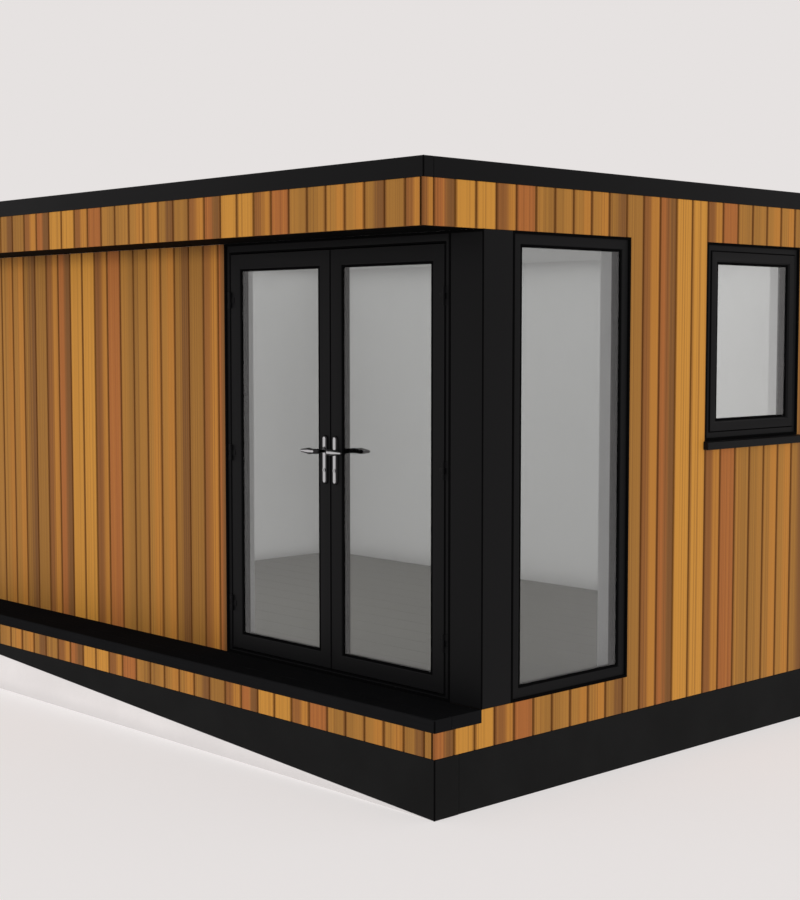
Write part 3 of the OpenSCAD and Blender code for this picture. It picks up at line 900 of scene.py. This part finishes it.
class GARDENROOM_OT_roof(bpy.types.Operator):
    """Finishes the roof's trim, membrane and soffit"""

    bl_idname = "garden_room.roof"
    bl_label = "Roof"

    def execute(self, context):
        sizes = context.scene.garden_room_boards
        # the trim's coat is the joinery's powder coat darkened as painted shade
        dressed_node("roof_trim", "roof_edge_trim", "trim_coat", width=0.0025)
        paint_node("roof_membrane", "membrane")
        self.seams()
        paint_node("roof_slab", "backing")
        low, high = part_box("canopy_soffit")
        sheet = Sheet((low.x, low.y), (high.x, high.y))
        joint, arris = 0.003, 0.002
        count = round((high.y - low.y) / sizes.soffit_board)
        board = (high.y - low.y + joint) / count
        fronts = [low.y + index * board for index in range(count)]
        spans = [(low.x, high.x, front, front + board - joint) for front in fronts]
        bm = bmesh.new()
        join_meshes(bm, sheet.boards(spans, high.z - low.z, arris), 0, lying(low.z, 1))
        turn_outwards(bm)
        # the soffit finish is black paint darkened by painted shade
        add_piece("soffit_boards", bm, ["soffit"], "building", ["canopy_soffit"])
        return {"FINISHED"}

    def seams(self):
        """Welded laps of the roof sheet, running down its fall."""
        lap, rise, edge = 0.06, 0.0015, 0.004
        low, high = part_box("roof_membrane")
        mesh = frame["nodes"]["roof_membrane"].data
        back_level = max(v.co.z for v in mesh.vertices if v.co.y > (low.y + high.y) / 2)
        bm = bmesh.new()
        for share in (1 / 3, 2 / 3):
            x = low.x + share * (high.x - low.x)
            for vert in add_block(bm, (x, low.y + edge, high.z), (x + lap, high.y - edge, high.z + rise)):
                if vert.co.y > 0:
                    vert.co.z += back_level - high.z
        add_piece("roof_seams", bm, ["membrane"], "building")


# Glass units, each with its body, the axis through it and its glass
GLAZED = (
    ("left_door", "left_leaf", DOOR_WALL, "grey_glass"),
    ("right_door", "right_leaf", DOOR_WALL, "grey_glass"),
    ("tall_window", "building", SIDE_WALL, "grey_glass"),
    ("small_window", "building", SIDE_WALL, "clear_glass"),
)


class GARDENROOM_OT_joinery(bpy.types.Operator):
    """Finishes the post, the frames, the leaves and the sill, and fits their seals"""

    bl_idname = "garden_room.joinery"
    bl_label = "Joinery"

    def execute(self, context):
        for node, name in (
            ("corner_post", "corner_post_casing"),
            ("door_frame", "door_frame_coated"),
            ("left_door_leaf", "left_leaf_coated"),
            ("right_door_leaf", "right_leaf_coated"),
            ("tall_window_frame", "tall_window_coated"),
            ("small_window_frame", "small_window_coated"),
            ("window_sill", "window_sill_coated"),
        ):
            dressed_node(node, name, "powder_coat", width=0.0035)
        for name, body, axis, _ in GLAZED:
            self.glazing_seals(name, body, axis)
        self.meeting_seals()
        self.sealant()
        self.corner_joints()
        return {"FINISHED"}

    def meeting_seals(self):
        """Soft fins that close the gap between the leaves; they part in its middle."""
        behind_face, thickness, parting = 0.012, 0.006, 0.0001
        low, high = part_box("left_door_leaf")
        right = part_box("right_door_leaf")[0].x
        middle = (high.x + right) / 2
        front = low.y + behind_face
        for side, start, end in (
            ("left", high.x, middle - parting / 2),
            ("right", middle + parting / 2, right),
        ):
            bm = bmesh.new()
            add_block(bm, (start, front, low.z), (end, front + thickness, high.z))
            add_seal(f"{side}_meeting_seal", bm, f"{side}_leaf")

    def sealant(self):
        """Dark beads where the frames meet the boards, the post and the soffit."""
        width, depth, proud, edge = 0.012, 0.0082, 0.0005, 0.004
        bm = bmesh.new()
        low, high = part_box("door_frame")
        add_ring(bm, low, high, DOOR_WALL, low.y - depth, depth, width)
        post_end = (RIGHT_FACE - edge, WALL_FACE + edge, SOFFIT)
        add_block(bm, (high.x, WALL_FACE - proud, SOFFIT - width), post_end)
        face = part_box("tall_window_frame")[1].x
        for node in ("tall_window_frame", "small_window_frame"):
            add_ring(bm, *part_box(node), SIDE_WALL, face, depth, width)
        self.sash_gasket(bm, face)
        self.door_gasket(bm, low.y)
        add_seal("frame_sealant", bm)

    def sash_gasket(self, bm, face):
        """Gasket in the joint between the small window's frame and its sash."""
        frame_width, width, depth = 0.045, 0.006, 0.002
        add_ring(bm, *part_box("small_window_frame"), SIDE_WALL, face, depth, width, frame_width - width)

    def door_gasket(self, bm, face):
        """Lip of the weather seal, on the edge of the frame round the two leaves."""
        gap, width, proud = 0.005, 0.007, 0.0005
        low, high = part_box("left_door_leaf")[0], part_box("right_door_leaf")[1]
        add_ring(bm, low, high, DOOR_WALL, face - proud, proud, width, -gap - width)

    def corner_joints(self):
        """Dark joint lines down the corners of the post, the plinth, the deck's edge and the trim."""
        width, rise = 0.005, 0.0005
        trim_low, trim_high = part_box("roof_trim")
        deck_corner = (RIGHT_FACE, DECK_FACE)
        lines = [
            ((RIGHT_FACE, WALL_FACE), DECK_TOP, SOFFIT),
            (deck_corner, 0, PLINTH_TOP),
            (deck_corner, LIP_BOTTOM, DECK_TOP - width),
            ((trim_high.x, trim_low.y), BAND_TOP, trim_high.z),
        ]
        bm = bmesh.new()
        for (x, y), bottom, top in lines:
            add_block(bm, (x - width, y - rise, bottom), (x + rise, y + width, top))
        add_seal("corner_joints", bm)

    def glazing_seals(self, name, body, axis):
        """Wedge gaskets round both faces of a glass unit."""
        seat, width, depth = 0.012, 0.012, 0.003
        low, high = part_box(f"{name}_glass")
        bm = bmesh.new()
        for start in (low[axis] - depth, high[axis]):
            add_ring(bm, low, high, axis, start, depth, width, seat)
        add_seal(f"{name}_seals", bm, body)


class GARDENROOM_OT_glazing(bpy.types.Operator):
    """Builds the double glazing: two panes on a spacer bar"""

    bl_idname = "garden_room.glazing"
    bl_label = "Glazing"

    def execute(self, context):
        for opening in GLAZED:
            self.unit(*opening)
        return {"FINISHED"}

    def unit(self, name, body, axis, item):
        """Two panes, and the spacer bar between their edges."""
        pane, spacer = 0.004, 0.016
        low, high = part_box(f"{name}_glass")
        near_end, far_start = high.copy(), low.copy()
        near_end[axis] = low[axis] + pane
        far_start[axis] = high[axis] - pane
        bm = bmesh.new()
        add_block(bm, low, near_end)
        add_block(bm, far_start, high)
        add_piece(f"{name}_panes", bm, [item], body, [f"{name}_glass"])
        bm = bmesh.new()
        add_ring(bm, low, high, axis, near_end[axis], far_start[axis] - near_end[axis], spacer)
        add_seal(f"{name}_spacer", bm, body)


# Lock cylinders
LOCK_BELOW_TOP, LOCK_RADIUS = 0.168, 0.0085


class GARDENROOM_OT_furniture(bpy.types.Operator):
    """Finishes the hinges, the handle plates and the levers"""

    bl_idname = "garden_room.furniture"
    bl_label = "Door furniture"

    def execute(self, context):
        plate_thickness = 0.010
        self.hinges("frame_hinges", "frame_hinges_coated")
        for side in ("left", "right"):
            self.hinges(f"{side}_leaf_hinges", f"{side}_hinges_coated")
            front, back = [corner.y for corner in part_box(f"{side}_door_leaf")]
            faces = (front - plate_thickness, back + plate_thickness)
            self.plates(side, faces, (front, back))
            self.lever(side, faces)
            self.keyholes(side)
        return {"FINISHED"}

    def hinges(self, node, name):
        dressed_node(node, name, "powder_coat", width=0.0006)

    def plates(self, side, faces, leaf_faces):
        """Handle plates with a broad round edge, a hole for the spindle and a lock cylinder."""
        low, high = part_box(f"{side}_handle_plates")
        spindle = sum(corner.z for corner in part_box(f"{side}_lever")) / 2
        upright = Matrix.Rotation(math.pi / 2, 4, "X")
        bm = bmesh.new()
        for face, leaf, tip in zip(faces, leaf_faces, (low.y, high.y)):
            self.plate(bm, low, high, spindle, face, leaf)
            place = ((low.x + high.x) / 2, (face + tip) / 2, high.z - LOCK_BELOW_TOP)
            bmesh.ops.create_cone(
                bm, cap_ends=True, segments=32, radius1=LOCK_RADIUS, radius2=LOCK_RADIUS,
                depth=abs(tip - face), matrix=Matrix.Translation(place) @ upright)
        turn_outwards(bm)
        self.add_chrome(f"{side}_handle_plates", f"{side}_plates_chrome", bm, painted_reflection_facing=0.99)

    def plate(self, bm, low, high, spindle, face, leaf):
        """One handle plate between the leaf and its own face."""
        round_edge, steps, hole = 0.0078, 4, 0.0087
        x, radius = (low.x + high.x) / 2, (high.x - low.x) / 2
        out = math.copysign(round_edge, face - leaf)
        sections = [(radius, leaf)]
        for turn in [math.pi / 2 * step / steps for step in range(steps + 1)]:
            reach = radius - round_edge * (1 - math.cos(turn))
            sections.append((reach, face - out * (1 - math.sin(turn))))
        loops = [self.loop(bm, x, y, low.z + radius, high.z - radius, reach) for reach, y in sections]
        rims = [self.loop(bm, x, y, spindle, spindle, hole) for y in (leaf, face)]
        for first, second in [*zip(loops, loops[1:]), rims]:
            bmesh.ops.bridge_loops(bm, edges=first + second)
        bmesh.ops.triangle_fill(bm, use_beauty=True, edges=loops[-1] + rims[1])

    def loop(self, bm, x, y, bottom, top, radius):
        """Edges round an upright slot, or round a hole where bottom and top are the same."""
        points = 24
        verts = []
        for index in range(points):
            angle = 2 * math.pi * (index + 0.5) / points
            end = top if math.sin(angle) > 0 else bottom
            verts.append(bm.verts.new((x + radius * math.cos(angle), y, end + radius * math.sin(angle))))
        return [bm.edges.new(pair) for pair in zip(verts, verts[1:] + verts[:1])]

    def lever(self, side, faces):
        """Outer and inner lever, drawn with an upright oval grip clear of the plates."""
        upright, clear = 1.45, 0.005
        bm = merged_copy(f"{side}_lever")
        low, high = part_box(f"{side}_lever")
        level = (low.z + high.z) / 2
        front, back = faces[0] - clear, faces[1] + clear
        for y in (front, back):
            split(bm, 1, y)
        for vert in bm.verts:
            if not front - NEAR < vert.co.y < back + NEAR:
                vert.co.z = level + (vert.co.z - level) * upright
        self.add_chrome(f"{side}_lever", f"{side}_lever_chrome", bm, painted_reflection_facing=0.95)

    def add_chrome(self, node, name, bm, painted_reflection_facing):
        """Chrome that is bright on its face, with a painted dark reflection of the black frame where it
        turns away.
        """
        bm.normal_update()
        for face in bm.faces:
            # painted reflection: faces that turn away from the front take the near-black chrome
            face.material_index = 0 if abs(face.normal.y) > painted_reflection_facing else 1
        add_piece(name, bm, ["chrome", "painted_dark_reflection"], body_of(node), [node], smooth=True)

    def keyholes(self, side):
        """Black blocks on both lock cylinders of a leaf: painted shade of their key slots, which are not
        cut.
        """
        half = Vector((0.0012, 0.0003, 0.0045))
        low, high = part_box(f"{side}_handle_plates")
        bm = bmesh.new()
        for y in (low.y, high.y):
            middle = Vector(((low.x + high.x) / 2, y, high.z - LOCK_BELOW_TOP))
            # painted shade: a thin black block stands for the dark inside of the key slot
            add_block(bm, middle - half, middle + half)
        add_seal(f"{side}_keyholes", bm, f"{side}_leaf")


class GARDENROOM_OT_room(bpy.types.Operator):
    """Paints the room and lays its floor"""

    bl_idname = "garden_room.room"
    bl_label = "Room"

    def execute(self, context):
        for node in ("front_wall", "left_wall", "back_wall", "right_pier", "right_low_wall",
                     "right_rear_wall", "ceiling"):
            paint_node(node, "plaster")
        self.floor(context.scene.garden_room_boards, context.scene.garden_room_colours)
        return {"FINISHED"}

    def floor(self, sizes, colours):
        low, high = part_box("floor_finish")
        room_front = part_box("front_wall")[1].y
        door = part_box("door_frame")
        voids = [
            (low.x, door[0].x, low.y, room_front),
            (door[1].x, high.x, low.y, room_front),
            (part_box("right_pier")[0].x, high.x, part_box("tall_window_frame")[1].y, high.y),
        ]
        sheet = Sheet((low.x, low.y), (high.x, high.y), voids)
        rng = random.Random(sizes.seed + 1)
        joint, arris = 0.0008, 0.0012
        spans = []
        front = low.y
        while front < high.y - joint:
            back = min(front + sizes.plank_width, high.y)
            left = low.x - rng.uniform(0.1, 1.0) * sizes.plank_length
            while left < high.x - joint:
                right = left + sizes.plank_length
                if right > low.x + joint:
                    spans.append((max(left, low.x) + joint, min(right, high.x) - joint,
                                  front + joint, back - joint))
                left = right
            front = back
        bm = sheet.boards(spans, high.z - low.z, arris)
        tones = [[scaled(colours.planks, rng.uniform(0.93, 1.07))] * 2 for _ in spans]
        tone_boards(bm, spans, tones, 0, rng)
        bmesh.ops.transform(bm, matrix=lying(high.z, -1), verts=bm.verts[:])
        add_piece("floor_planks", bm, ["planks"], "building", ["floor_finish"])


class GARDENROOM_PT_panel(bpy.types.Panel):
    """Lists the steps that dress the garden room"""

    bl_idname = "GARDENROOM_PT_panel"
    bl_label = "Garden Room"
    bl_space_type = "VIEW_3D"
    bl_region_type = "UI"
    bl_category = "Garden Room"

    def draw(self, context):
        for step in STEPS:
            self.layout.operator(step.bl_idname)
        for group in SETTINGS:
            settings = getattr(context.scene, group)
            box = self.layout.box()
            for name in settings.__annotations__:
                box.prop(settings, name)


STEPS = (
    GARDENROOM_OT_stage,
    GARDENROOM_OT_base,
    GARDENROOM_OT_cladding,
    GARDENROOM_OT_deck,
    GARDENROOM_OT_roof,
    GARDENROOM_OT_joinery,
    GARDENROOM_OT_glazing,
    GARDENROOM_OT_furniture,
    GARDENROOM_OT_room,
)

SETTINGS = {
    "garden_room_boards": BoardSettings,
    "garden_room_colours": ColourSettings,
    "garden_room_view": ViewSettings,
}

CLASSES = (*SETTINGS.values(), *STEPS, GARDENROOM_PT_panel)


def register():
    for item in CLASSES:
        bpy.utils.register_class(item)
    for name, group in SETTINGS.items():
        setattr(bpy.types.Scene, name, bpy.props.PointerProperty(type=group))


def unregister():
    for name in SETTINGS:
        delattr(bpy.types.Scene, name)
    for item in reversed(CLASSES):
        bpy.utils.unregister_class(item)


def main():
    register()
    for step in STEPS:
        group, name = step.bl_idname.split(".")
        getattr(getattr(bpy.ops, group), name)()


if __name__ == "__main__":
    main()
